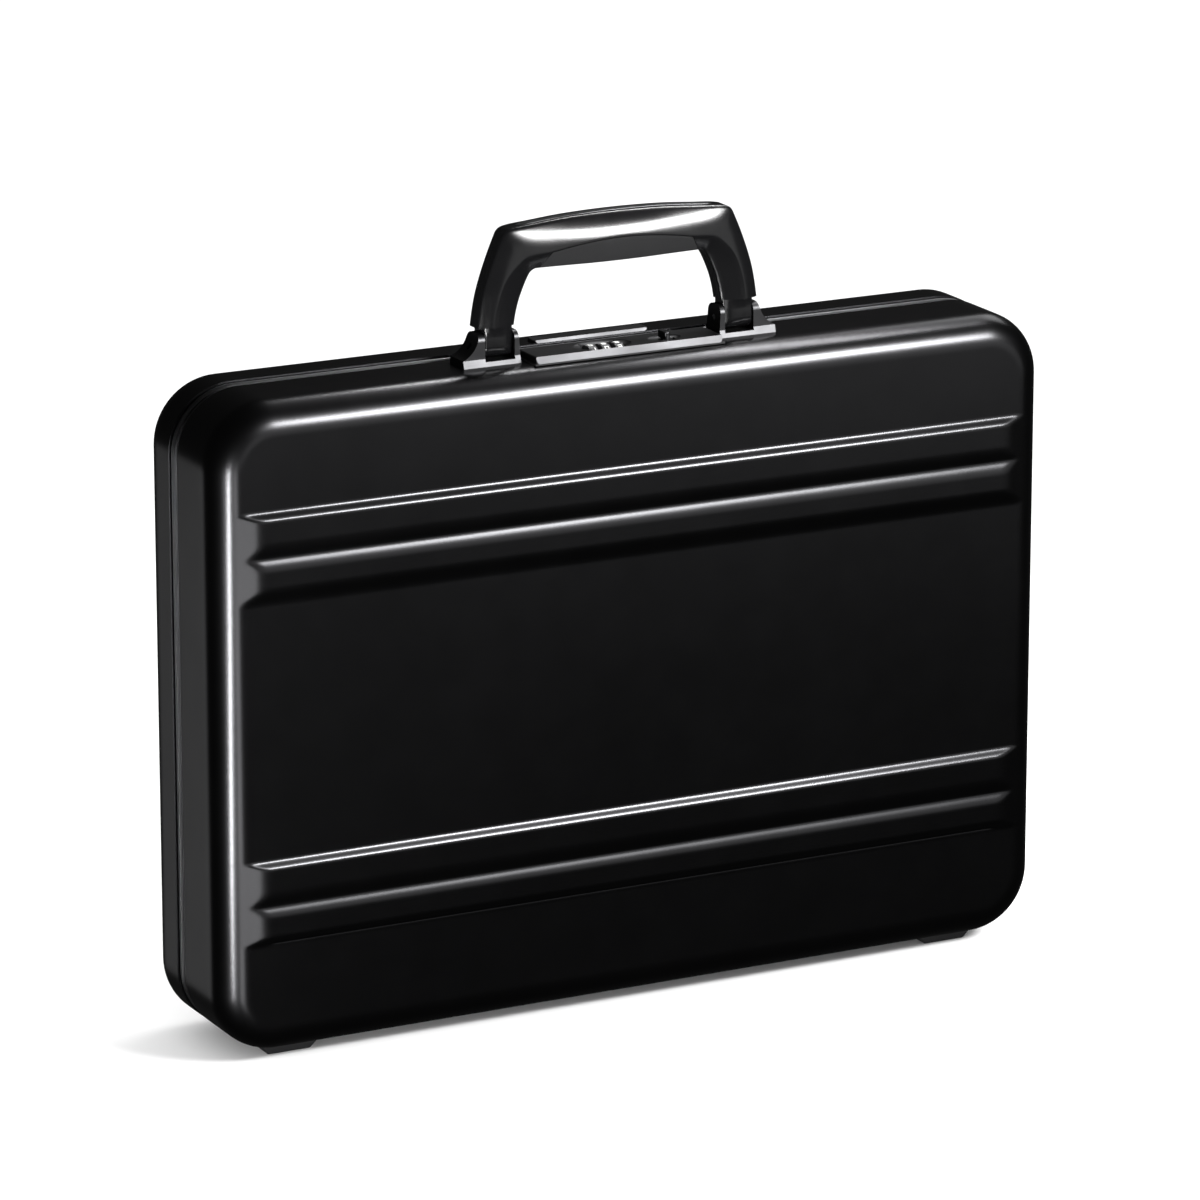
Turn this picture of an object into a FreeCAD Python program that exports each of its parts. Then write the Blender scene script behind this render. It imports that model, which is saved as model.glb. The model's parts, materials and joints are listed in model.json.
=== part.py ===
import FreeCAD, Part
import os
import math
from FreeCAD import Vector as V

os.makedirs("parts", exist_ok=True)

# ---------------------------------------------------------------- dimensions (mm)
# Frame: +X to the right along the handle, +Y from the base shell towards the lid,
# +Z up. Origin on the floor under the middle of the case, which stands on its feet.
W = 445.0            # case width
H = 317.5            # case height without feet and handle
D = 81.0             # depth over the two flat faces, without the pressed ribs
FOOT_H = 5.5         # foot height
R_COR = 32.0         # outline corner radius
R_EDGE = 15.0        # rounding between face and side wall
T = 1.5              # drawn sheet thickness
RIB = 2.6            # how far a rib stands proud of the face
RIB_SLOPE = 4.0      # run of a rib's side slope
RIB_X0 = 199.0       # half length of a rib's flat top
RIB_X1 = 208.5       # half length of a rib at the face
RIBS = [(251.0, 272.0), (230.8, 251.8), (81.4, 102.4), (61.2, 82.2)]  # z range of each rib
Y_BASE_RIM = 1.2     # base shell rim
Y_BASE_FR = 5.5      # base frame parting face
Y_LID_FR = 5.9       # lid frame parting face
Y_LID_RIM = 11.4     # lid shell rim
ZB = FOOT_H
ZT = FOOT_H + H
ZM = FOOT_H + H / 2.0
YF = -D / 2.0
YR = D / 2.0

# hinge
Y_HINGE = 5.7
Z_HINGE = ZB - 1.5
HINGE_X = 140.0
KNUCKLES = 10
KN_R = 2.3
PIN_R = 1.0
PIN_CLR = 0.05
LEAF_T = 1.2

# carrying handle
HX = 64.2            # handle leg centre
HY = -11.5           # handle pivot
HZ = 332.0
LEG_HALF = 7.2       # half depth of the handle legs
GRIP_HALF = 10.8     # half depth in the middle of the grip
TANG_HALF = 6.3
SLOT0, SLOT1 = 56.3, 71.9

# lock
LX = 50.0
LY0, LY1 = -28.5, -8.5
LZ = 327.0
DIAL_X = (-17.2, -10.2, -3.2)
DIAL_W = 4.6
DIAL_R = 7.6
DIAL_Y = -19.6
DIAL_Z = 320.1
SHAFT_R = 1.25
KNOB_X = 22.5
KNOB_Y = -19.6
TRAVEL = 4.5

# lid stays: a parallelogram of four equal sides, hinge axis - base pivot - elbow - lid pivot
STAY = 110.0
STAY_DY = 12.0
SX_LOW = (213.2, 214.4)
SX_UP = (211.6, 212.8)

out = {}


def add(name, shape):
    shape = shape.removeSplitter() if shape.ShapeType in ("Solid", "Compound", "Shell") else shape
    out[name] = shape


def box(x0, x1, y0, y1, z0, z1):
    return Part.makeBox(x1 - x0, y1 - y0, z1 - z0, V(x0, y0, z0))


def cyl(r, p, d, h):
    return Part.makeCylinder(r, h, V(*p), V(*d))


def fuse(*s):
    r = s[0]
    if len(s) > 1:
        r = r.multiFuse(list(s[1:]))
    return r.removeSplitter()


def solids(*s):
    return Part.makeCompound([q for x in s for q in x.Solids])


def poly(pts, plane, a, b):
    # closed polygon extruded along the third axis; plane "xz" -> along y, "yz" -> along x, "xy" -> along z
    if plane == "xz":
        v = [V(p[0], a, p[1]) for p in pts]
        d = V(0, b - a, 0)
    elif plane == "yz":
        v = [V(a, p[0], p[1]) for p in pts]
        d = V(b - a, 0, 0)
    else:
        v = [V(p[0], p[1], a) for p in pts]
        d = V(0, 0, b - a)
    w = Part.makePolygon(v + [v[0]])
    return Part.Face(w).extrude(d)


def path(segs, plane, a, b):
    # segs: list of ("l", p, q) or ("a", p, m, q)
    def q(p):
        if plane == "xz":
            return V(p[0], a, p[1])
        if plane == "yz":
            return V(a, p[0], p[1])
        return V(p[0], p[1], a)
    es = []
    for s in segs:
        if s[0] == "l":
            es.append(Part.LineSegment(q(s[1]), q(s[2])).toShape())
        else:
            es.append(Part.Arc(q(s[1]), q(s[2]), q(s[3])).toShape())
    w = Part.Wire(Part.__sortEdges__(es))
    d = {"xz": V(0, b - a, 0), "yz": V(b - a, 0, 0), "xy": V(0, 0, b - a)}[plane]
    return Part.Face(w).extrude(d)


def rr(off, y0, y1):
    # prism along Y with the case outline moved inwards by off
    x = W / 2.0 - off
    z0 = ZB + off
    z1 = ZT - off
    r = R_COR - off
    k = r * (1 - math.sqrt(0.5))
    segs = [("l", (-x + r, z0), (x - r, z0)), ("a", (x - r, z0), (x - k, z0 + k), (x, z0 + r)),
            ("l", (x, z0 + r), (x, z1 - r)), ("a", (x, z1 - r), (x - k, z1 - k), (x - r, z1)),
            ("l", (x - r, z1), (-x + r, z1)), ("a", (-x + r, z1), (-x + k, z1 - k), (-x, z1 - r)),
            ("l", (-x, z1 - r), (-x, z0 + r)), ("a", (-x, z0 + r), (-x + k, z0 + k), (-x + r, z0))]
    return path(segs, "xz", y0, y1)


def ring(o, i, y0, y1):
    return rr(o, y0, y1).cut(rr(i, y0 - 1, y1 + 1))


def tray(off, yface, yrim, r_edge):
    # closed block with the face edge rounded
    lo, hi = min(yface, yrim), max(yface, yrim)
    s = rr(off, lo, hi)
    es = [e for e in s.Edges if abs(e.BoundBox.YMin - yface) < 1e-6 and abs(e.BoundBox.YMax - yface) < 1e-6]
    return s.makeFillet(r_edge, es)


def frustum(x0, z0, z1, ya, x1, z2, z3, yb):
    a = Part.makePolygon([V(-x0, ya, z0), V(x0, ya, z0), V(x0, ya, z1), V(-x0, ya, z1), V(-x0, ya, z0)])
    b = Part.makePolygon([V(-x1, yb, z2), V(x1, yb, z2), V(x1, yb, z3), V(-x1, yb, z3), V(-x1, yb, z2)])
    return Part.makeLoft([a, b], True, True)


def shell(yface, yrim):
    s = -1.0 if yface < yrim else 1.0        # outward direction of the face
    outer = tray(0.0, yface, yrim, R_EDGE)
    inner = tray(T, yface - s * T, yrim - s * 1.0, R_EDGE - T)
    k = 0.5 / RIB
    for z0, z1 in RIBS:
        outer = outer.fuse(frustum(RIB_X1 + k * 9.5, z0 - k * RIB_SLOPE, z1 + k * RIB_SLOPE, yface - s * 0.5,
                                   RIB_X0, z0 + RIB_SLOPE, z1 - RIB_SLOPE, yface + s * RIB))
        yi = yface - s * T
        inner = inner.fuse(frustum(RIB_X1 - 1.0 + k * 9.5, z0 + 1.2 - k * RIB_SLOPE, z1 - 1.2 + k * RIB_SLOPE, yi - s * 0.5,
                                   RIB_X0 - 1.0, z0 + RIB_SLOPE + 1.0, z1 - RIB_SLOPE - 1.0, yi + s * RIB))
    return outer.cut(inner).removeSplitter()


# ---------------------------------------------------------------- shells
base_shell = shell(YF, Y_BASE_RIM)
lid_shell = shell(YR, Y_LID_RIM)

# openings in the top wall of the base shell for the combination dials and the release knob
dial_x0, dial_x1 = DIAL_X[0] - 4.6, DIAL_X[2] + 4.6
base_shell = base_shell.cut(box(dial_x0, dial_x1, DIAL_Y - 8.0, DIAL_Y + 8.0, ZT - 4, ZT + 2))
base_shell = base_shell.cut(box(KNOB_X - 2.2, KNOB_X + 2.2 + TRAVEL, KNOB_Y - 2.2, KNOB_Y + 2.2, ZT - 3, ZT + 2))

# ---------------------------------------------------------------- frames
base_frame = fuse(ring(T, 3.5, -6.0, Y_BASE_RIM), ring(1.9, 6.2, Y_BASE_RIM, 2.3), ring(0.7, 6.2, 2.3, 3.8),
                  ring(1.3, 6.2, 3.8, Y_BASE_FR))
base_frame = base_frame.cut(ring(3.0, 5.0, 3.3, 7.0))
lid_frame = fuse(ring(T, 3.5, Y_LID_RIM, 17.2), ring(1.9, 6.2, 10.2, Y_LID_RIM), ring(1.0, 6.2, Y_LID_FR, 10.2),
                 ring(3.4, 4.6, 4.7, Y_LID_FR + 0.5))
gasket = ring(3.0, 5.0, 3.3, 4.25)

# ---------------------------------------------------------------- feet and their screws
FOOT_X = (164.5, 195.5)


def foot(xa, xb, ya, yb):
    b = box(xa, xb, ya, yb, 0, ZB)
    s = poly([(xa, ZB), (xb, ZB), (xb - 4.5, 0), (xa + 4.5, 0)], "xz", ya, yb)
    p = poly([(ya, ZB), (yb, ZB), (yb - 1.5, 0), (ya + 1.5, 0)], "yz", xa, xb)
    f = b.common(s).common(p)
    try:
        es = [e for e in f.Edges if e.BoundBox.ZMax < 0.01 or (e.BoundBox.ZMax - e.BoundBox.ZMin > 5)]
        f = f.makeFillet(1.2, es)
    except Exception:
        pass
    return f


def feet(ya, yb):
    fs, ss = [], []
    yc = (ya + yb) / 2.0
    for sgn in (-1, 1):
        xa, xb = sorted((sgn * FOOT_X[0], sgn * FOOT_X[1]))
        f = foot(xa, xb, ya, yb)
        for dx in (-7.5, 7.5):
            xc = (xa + xb) / 2.0 + dx
            f = f.cut(cyl(2.6, (xc, yc, -1), (0, 0, 1), 3.0)).cut(cyl(1.5, (xc, yc, -1), (0, 0, 1), 9))
            s = fuse(cyl(2.5, (xc, yc, 0.7), (0, 0, 1), 1.3), cyl(1.5, (xc, yc, 1.5), (0, 0, 1), 6.4))
            s = s.cut(box(xc - 2.0, xc + 2.0, yc - 0.3, yc + 0.3, 0.5, 1.2))
            ss.append(s)
        fs.append(f)
    return solids(*fs), ss


base_feet, bfs = feet(-24.5, -8.5)
lid_feet, lfs = feet(13.5, 26.0)
base_shell = base_shell.cut(Part.makeCompound([s for s in bfs]))
lid_shell = lid_shell.cut(Part.makeCompound([s for s in lfs]))

# ---------------------------------------------------------------- bottom hinge
pitch = 2 * HINGE_X / KNUCKLES
gap = 0.3


def leaf(side):
    s = -1 if side == "base" else 1
    ya, yb = (Y_HINGE - 19.0, Y_HINGE) if s < 0 else (Y_HINGE, Y_HINGE + 19.0)
    lf = box(-HINGE_X, HINGE_X, ya, yb, ZB - LEAF_T, ZB)
    own, other = [], []
    for i in range(KNUCKLES):
        x0 = -HINGE_X + i * pitch
        (own if (i % 2 == 0) == (s < 0) else other).append((x0, x0 + pitch))
    for a, b in other:
        lf = lf.cut(box(a - gap / 2, b + gap / 2, Y_HINGE - KN_R - 0.4, Y_HINGE + KN_R + 0.4, ZB - 6, ZB + 2))
    for a, b in own:
        lf = lf.fuse(cyl(KN_R, (a + gap / 2, Y_HINGE, Z_HINGE), (1, 0, 0), b - a - gap))
    lf = lf.cut(cyl(PIN_R + PIN_CLR, (-HINGE_X - 5, Y_HINGE, Z_HINGE), (1, 0, 0), 2 * HINGE_X + 10))
    return lf.removeSplitter()


leaf_base = leaf("base")
leaf_lid = leaf("lid")
hinge_pin = fuse(cyl(PIN_R, (-HINGE_X - 0.9, Y_HINGE, Z_HINGE), (1, 0, 0), 2 * HINGE_X + 1.8),
                 cyl(1.7, (-HINGE_X - 1.6, Y_HINGE, Z_HINGE), (1, 0, 0), 0.9),
                 cyl(1.7, (HINGE_X + 0.7, Y_HINGE, Z_HINGE), (1, 0, 0), 0.9))


def hinge_rivets(yc):
    rs = []
    for i in range(8):
        x = -HINGE_X + 17.5 + i * 35.0
        head = Part.makeSphere(2.9, V(x, yc, ZB - LEAF_T + 1.9)).common(box(x - 3, x + 3, yc - 3, yc + 3, ZB - LEAF_T - 2, ZB - LEAF_T))
        r = fuse(head, cyl(1.4, (x, yc, ZB - LEAF_T - 0.2), (0, 0, 1), LEAF_T + T + 0.2),
                 cyl(2.4, (x, yc, ZB + T), (0, 0, 1), 0.8))
        rs.append(r)
    return rs


brv = hinge_rivets(-8.5)
lrv = hinge_rivets(Y_HINGE + 14.2)
bores_b = Part.makeCompound([cyl(1.4, (r.BoundBox.Center.x, -8.5, 0), (0, 0, 1), 12) for r in brv])
bores_l = Part.makeCompound([cyl(1.4, (r.BoundBox.Center.x, Y_HINGE + 14.2, 0), (0, 0, 1), 12) for r in lrv])
leaf_base = leaf_base.cut(bores_b)
leaf_lid = leaf_lid.cut(bores_l)
base_shell = base_shell.cut(bores_b)
lid_shell = lid_shell.cut(bores_l)

# ---------------------------------------------------------------- handle brackets


def bracket(sgn):
    # left and right are mirror images; drawn for the right, x from 53.5 to 83.5
    xz = [("l", (53.5, ZT), (83.5, ZT)), ("l", (83.5, ZT), (83.5, ZT + 3.6)),
          ("a", (83.5, ZT + 3.6), (77.6, ZT + 8.2), (74.9, ZT + 15.8)),
          ("l", (74.9, ZT + 15.8), (SLOT1, ZT + 15.8)), ("l", (SLOT1, ZT + 15.8), (SLOT1, ZT + 2.1)),
          ("l", (SLOT1, ZT + 2.1), (SLOT0, ZT + 2.1)), ("l", (SLOT0, ZT + 2.1), (SLOT0, ZT + 15.8)),
          ("l", (SLOT0, ZT + 15.8), (54.2, ZT + 15.8)), ("l", (54.2, ZT + 15.8), (53.5, ZT + 4.0)),
          ("l", (53.5, ZT + 4.0), (53.5, ZT))]
    a = path(xz, "xz", -21, -3)
    yz = [("l", (-19.4, ZT), (-4.0, ZT)), ("l", (-4.0, ZT), (-4.0, ZT + 3.6)), ("l", (-4.0, ZT + 3.6), (-4.8, ZT + 4.2)),
          ("l", (-4.8, ZT + 4.2), (-5.2, ZT + 11.8)), ("a", (-5.2, ZT + 11.8), (-6.2, ZT + 14.2), (-8.6, ZT + 15.4)),
          ("l", (-8.6, ZT + 15.4), (-14.4, ZT + 15.4)),
          ("a", (-14.4, ZT + 15.4), (-17.0, ZT + 14.2), (-18.1, ZT + 11.8)), ("l", (-18.1, ZT + 11.8), (-18.2, ZT + 4.2)),
          ("l", (-18.2, ZT + 4.2), (-18.2, ZT + 3.6)), ("l", (-18.2, ZT + 3.6), (-19.4, ZT))]
    b = path(yz, "yz", 53, 84)
    s = a.common(b)
    s = s.cut(cyl(1.5, (50, HY, HZ), (1, 0, 0), 40))
    if sgn < 0:
        s = s.mirror(V(0, 0, 0), V(1, 0, 0))
    return s


br_l, br_r = bracket(-1), bracket(1)
pins = []
for sgn in (-1, 1):
    x0 = 53.9 if sgn > 0 else -75.0
    pins.append(cyl(1.5, (x0, HY, HZ), (1, 0, 0), 21.1))
handle_pins = solids(*pins)

# bracket rivets come up from inside the case into the bracket's base, through a backing plate
backs, brivs = [], []
for sgn in (-1, 1):
    xa, xb = sorted((sgn * 55.0, sgn * 82.0))
    bp = box(xa, xb, -18.5, -8.6, ZT - T - 1.2, ZT - T)
    for xc in (58.6, 78.5):
        x = sgn * xc
        r = fuse(cyl(1.6, (x, -13.5, ZT - T - 1.2), (0, 0, 1), T + 1.2 + 1.6), cyl(2.8, (x, -13.5, ZT - T - 2.1), (0, 0, 1), 0.9))
        brivs.append(r)
        bp = bp.cut(cyl(1.6, (x, -13.5, ZT - 6), (0, 0, 1), 8))
    backs.append(bp)
riv = Part.makeCompound(brivs)
base_shell = base_shell.cut(riv)
br_l = br_l.cut(riv)
br_r = br_r.cut(riv)

# ---------------------------------------------------------------- handle


def handle_outline(y0, y1, grow=0.0):
    g = grow
    P = lambda s, x, z: (s * x, z)
    segs = []
    for s in (-1, 1):
        segs += [("l", P(s, 55.0 - g, 341.0), P(s, 75.2 + g, 341.0)),
                 ("a", P(s, 75.2 + g, 341.0), P(s, 71.2 + g, 361.0), P(s, 61.8 + g, 384.0)),
                 ("a", P(s, 61.8 + g, 384.0), P(s, 59.9 + g, 386.6), P(s, 56.6, 387.6 + g)),
                 ("a", P(s, 55.0 - g, 341.0), P(s, 52.6 - g, 353.0), P(s, 47.6 - g, 363.4)),
                 ("a", P(s, 47.6 - g, 363.4), P(s, 46.2 - g, 365.9), P(s, 43.4 - g, 366.9 - g))]
    segs += [("a", (-56.6, 387.6 + g), (0, 391.0 + g), (56.6, 387.6 + g)),
             ("a", (-43.4 + g, 366.9 - g), (0, 366.3 - g), (43.4 - g, 366.9 - g))]
    return path(segs, "xz", y0, y1)


h = handle_outline(HY - GRIP_HALF - 1, HY + GRIP_HALF + 1)
# the grip swells towards its middle, and its upper half leans in to a narrow crown
lens = []
for q in (-1, 1):
    lens += [("l", (-85, HY + q * LEG_HALF), (-57, HY + q * LEG_HALF)),
             ("a", (-57, HY + q * LEG_HALF), (0, HY + q * GRIP_HALF), (57, HY + q * LEG_HALF)),
             ("l", (57, HY + q * LEG_HALF), (85, HY + q * LEG_HALF)),
             ("l", (q * 85, HY - LEG_HALF), (q * 85, HY + LEG_HALF))]
h = h.common(path(lens, "xy", 335, 400))
h = h.common(poly([(HY - 11.6, 335), (HY - 11.6, 377.5), (HY - 5.2, 391.3), (HY + 5.2, 391.3), (HY + 11.6, 377.5), (HY + 11.6, 335)],
                  "yz", -90, 90))
tangs = []
for s in (-1, 1):
    xa, xb = sorted((s * (SLOT0 + 0.35), s * (SLOT1 - 0.35)))
    t = fuse(cyl(TANG_HALF, (xa, HY, HZ), (1, 0, 0), xb - xa),
             box(xa, xb, HY - TANG_HALF, HY + TANG_HALF, HZ, 341.5))
    tangs.append(t)
h = fuse(h, *tangs)
# bushings in the tangs turn on the pins
bush = []
for s in (-1, 1):
    xa, xb = sorted((s * (SLOT0 + 0.35), s * (SLOT1 - 0.35)))
    h = h.cut(cyl(2.6, (xa - 1, HY, HZ), (1, 0, 0), xb - xa + 2))
    b = cyl(2.6, (xa, HY, HZ), (1, 0, 0), xb - xa).cut(cyl(1.55, (xa - 1, HY, HZ), (1, 0, 0), xb - xa + 2))
    bush.append(b)
# soft grip insert on the underside of the grip
seam = [("a", (-38.0, 374.2), (0, 378.0), (38.0, 374.2)), ("l", (38.0, 374.2), (38.0, 360)),
        ("l", (38.0, 360), (-38.0, 360)), ("l", (-38.0, 360), (-38.0, 374.2))]
cutter = path(seam, "xz", HY - 20, HY + 20)
insert = h.common(cutter).common(poly([(HY - 4.6, 364.5), (HY - 11.4, 376.5), (HY - 11.4, 380), (HY + 11.4, 380), (HY + 11.4, 376.5),
                                       (HY + 4.6, 364.5)], "yz", -60, 60))
h = h.cut(cutter)
# the insert is held by two screws from below
iscr = []
for x in (-26.0, 26.0):
    z0 = 364.2
    s = fuse(cyl(2.2, (x, HY, 366.6), (0, 0, 1), 1.4), cyl(1.2, (x, HY, 367.0), (0, 0, 1), 16.0))
    s = s.cut(box(x - 1.7, x + 1.7, HY - 0.25, HY + 0.25, 366.4, 367.1))
    iscr.append(s)
    insert = insert.cut(cyl(2.3, (x, HY, 360), (0, 0, 1), 8.0)).cut(cyl(1.2, (x, HY, 360), (0, 0, 1), 23.0))
    h = h.cut(cyl(1.2, (x, HY, 360), (0, 0, 1), 23.0))
# thin trim strip along the crown of the handle
top_arc = path([("a", (-52.0, 387.4), (0, 390.25), (52.0, 387.4)), ("l", (52.0, 387.4), (52.0, 395)),
                ("l", (52.0, 395), (-52.0, 395)), ("l", (-52.0, 395), (-52.0, 387.4))], "xz", HY - 2.0, HY + 2.0)
strip = h.common(top_arc)
h = h.cut(top_arc)

# ---------------------------------------------------------------- lock
UZ = ZT + 0.7
under = box(-LX - 0.6, LX + 0.6, LY0 - 0.5, LY1 + 0.5, ZT, UZ)
plate = box(-LX, LX, LY0, LY1, UZ, LZ)
try:
    plate = plate.makeFillet(1.6, [e for e in plate.Edges if abs(e.BoundBox.XMax - e.BoundBox.XMin) < 1e-6 and abs(e.BoundBox.YMax - e.BoundBox.YMin) < 1e-6])
    plate = plate.makeChamfer(0.45, [e for e in plate.Edges if e.BoundBox.ZMin > LZ - 0.01])
except Exception as ex:
    print("plate edge", ex)
plate = plate.cut(poly([(LY0 - 1, UZ - 1), (LY0 - 1, LZ + 1), (LY0 + 1.35, LZ + 1), (LY0 + 1.35 - 0.36, LZ), (LY0, UZ)], "yz", -LX - 1, LX + 1))
# shallow dish around the dials, with one slot per dial
dc = (DIAL_X[0] + DIAL_X[2]) / 2.0
dish = Part.makeSphere(1.0)
m = FreeCAD.Matrix()
m.scale(15.4, 8.8, 2.6)
dish = dish.transformGeometry(m)
dish.translate(V(dc, DIAL_Y + 0.9, LZ + 0.5))
plate = plate.cut(dish)
for x in DIAL_X:
    c = box(x - DIAL_W / 2 - 0.35, x + DIAL_W / 2 + 0.35, DIAL_Y - 7.5, DIAL_Y + 7.5, ZT - 1, LZ + 1)
    plate = plate.cut(c)
    under = under.cut(c)
# oval scoop and slot for the release knob
kc = KNOB_X
scoop = Part.makeSphere(1.0)
m = FreeCAD.Matrix()
m.scale(9.0, 5.4, 1.9)
scoop = scoop.transformGeometry(m)
scoop.translate(V(kc, KNOB_Y, LZ + 0.4))
plate = plate.cut(scoop)
slot = box(KNOB_X - 1.6, KNOB_X + 1.6 + TRAVEL, KNOB_Y - 1.6, KNOB_Y + 1.6, ZT - 1, LZ + 1)
plate = plate.cut(slot)
under = under.cut(slot)

# mechanism case hangs under the top wall of the base shell
CX0, CX1, CY0, CY1, CZ0, CZ1 = -27.0, 44.0, -29.4, -8.6, 305.0, ZT - T
case = box(CX0, CX1, CY0, CY1, CZ0, CZ1).cut(box(CX0 + 1, CX1 - 1, CY0 + 1, CY1 - 1, CZ0 + 1, CZ1 + 1))
case = fuse(case, box(CX0 - 5, CX0 + 0.5, CY0, CY1, CZ1 - 1.0, CZ1), box(CX1 - 0.5, CX1 + 5, CY0, CY1, CZ1 - 1.0, CZ1))
# bearing cheeks for the dial shaft
case = fuse(case, box(-24.0, -22.6, CY0 + 0.5, CY1 - 0.5, CZ0 + 0.5, CZ1), box(2.2, 3.6, CY0 + 0.5, CY1 - 0.5, CZ0 + 0.5, CZ1))
case = case.cut(cyl(SHAFT_R, (-24.6, DIAL_Y, DIAL_Z), (1, 0, 0), 29.0))
shaft = cyl(SHAFT_R, (-24.0, DIAL_Y, DIAL_Z), (1, 0, 0), 27.6)
# window for the lid's striker tongue, in the rear wall
case = case.cut(box(4.6, 21.4, CY1 - 1.5, CY1 + 1, 309.5, 315.5))
dials = []
for x in DIAL_X:
    d = cyl(DIAL_R, (x - DIAL_W / 2, DIAL_Y, DIAL_Z), (1, 0, 0), DIAL_W)
    try:
        d = d.makeFillet(0.35, [e for e in d.Edges if e.BoundBox.YMax - e.BoundBox.YMin > 5])
    except Exception:
        pass
    # ten grip notches between the numbers
    for k in range(10):
        a = 2 * math.pi * (k + 0.5) / 10
        n = cyl(0.55, (x - DIAL_W, DIAL_Y + (DIAL_R + 0.15) * math.cos(a), DIAL_Z + (DIAL_R + 0.15) * math.sin(a)), (1, 0, 0), 2 * DIAL_W)
        d = d.cut(n)
    d = d.cut(cyl(SHAFT_R + 0.06, (x - DIAL_W, DIAL_Y, DIAL_Z), (1, 0, 0), 2 * DIAL_W))
    dials.append(d)
# three-fingered detent spring under the dials
det = box(-21.5, 1.1, -27.5, -12.0, CZ0 + 1.0, CZ0 + 1.5)
for x in DIAL_X:
    det = det.fuse(poly([(-26.6, CZ0 + 1.2), (-26.0, CZ0 + 1.2), (DIAL_Y + 0.6, CZ0 + 6.6), (DIAL_Y + 0.6, CZ0 + 7.1), (DIAL_Y, CZ0 + 7.1)], "yz", x - 1.5, x + 1.5))
det = det.removeSplitter()
case = case.cut(shell(YF, Y_BASE_RIM))
# screws through the case's ears into the lock plate
lscr = []
for x in (CX0 - 2.8, CX1 + 2.8):
    for y in (-24.5, -12.5):
        s = fuse(cyl(1.1, (x, y, CZ1 - 1.0), (0, 0, 1), LZ - 1.0 - CZ1), cyl(1.9, (x, y, CZ1 - 2.0), (0, 0, 1), 1.0))
        lscr.append(s)
ls = Part.makeCompound(lscr)
case = case.cut(ls)
base_shell = base_shell.cut(ls)
under = under.cut(ls)
plate = plate.cut(ls)

# release knob and the latch bar it carries
knob = box(KNOB_X - 1.6, KNOB_X + 1.6, KNOB_Y - 4.0, KNOB_Y + 4.0, LZ - 0.2, LZ + 3.4)
try:
    knob = knob.makeFillet(1.2, [e for e in knob.Edges if e.BoundBox.ZMax - e.BoundBox.ZMin > 3])
    knob = knob.makeFillet(0.5, [e for e in knob.Edges if e.BoundBox.ZMin > LZ + 3.3])
except Exception as ex:
    print("knob", ex)
knob = fuse(knob, box(KNOB_X - 1.2, KNOB_X + 1.2, KNOB_Y - 1.2, KNOB_Y + 1.2, 316.0, LZ + 1.0))
bar = fuse(box(20.0, 36.0, KNOB_Y - 3.0, KNOB_Y + 3.0, 313.0, 316.0),
           box(22.0, 24.5, KNOB_Y - 3.0, -11.0, 308.5, 316.0),
           box(20.0, 24.5, -14.0, -11.0, 308.5, 316.0))
# return spring between the bar and the case wall
turns, r0, wr = 5, 1.5, 0.25
hx = Part.makeHelix(1.9, 6.1, r0)
prof = Part.Wire(Part.makeCircle(wr, V(r0, 0, 0), V(0, 1, 0)))
spring = Part.Wire(hx).makePipeShell([prof], True, True)
spring.rotate(V(0, 0, 0), V(0, 1, 0), 90)
spring.translate(V(36.35, KNOB_Y, 314.5))

# ---------------------------------------------------------------- catch on the lid
catch = box(-31.0, 31.0, 11.9, 20.8, ZT, ZT + 1.4)
try:
    catch = catch.makeFillet(2.5, [e for e in catch.Edges if abs(e.BoundBox.XMax - e.BoundBox.XMin) < 1e-6 and abs(e.BoundBox.YMax - e.BoundBox.YMin) < 1e-6])
    catch = catch.makeChamfer(0.4, [e for e in catch.Edges if e.BoundBox.ZMin > ZT + 1.39])
except Exception as ex:
    print("catch edge", ex)
# striker: a bracket riveted under the lid's top wall, whose tongue reaches into the lock case
catch = catch.cut(poly([(10.5, ZT - 1), (10.5, ZT + 2), (12.8, ZT + 2), (12.55, ZT + 1.4), (11.95, ZT)], "yz", -32, 32))
sk = fuse(box(-26.0, 26.0, 12.2, 20.5, ZT - 5.0, ZT - 3.5), box(4.5, 21.5, 19.0, 20.5, 311.3, ZT - 4.0),
          box(6.0, 19.5, -12.5, 20.5, 311.3, 313.0))
sk = sk.cut(box(15.5, 19.6, -11.4, -8.9, 310, 314))
crv = []
for x in (-20.0, 0.0, 24.0):
    crv.append(fuse(cyl(1.3, (x, 14.7, ZT - 5.0), (0, 0, 1), 5.0 + 0.8), cyl(2.2, (x, 14.7, ZT - 5.8), (0, 0, 1), 0.8)))
cr = Part.makeCompound(crv)
sk = sk.cut(cr)
lid_shell = lid_shell.cut(cr)
lid_frame = lid_frame.cut(cr)
catch = catch.cut(cr)

# ---------------------------------------------------------------- lid stays
BY, LYP = Y_HINGE - STAY_DY, Y_HINGE + STAY_DY
dz = math.sqrt(STAY * STAY - STAY_DY * STAY_DY)
PZ = Z_HINGE + dz
EY, EZ = Y_HINGE, Z_HINGE + 2 * dz


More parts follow.
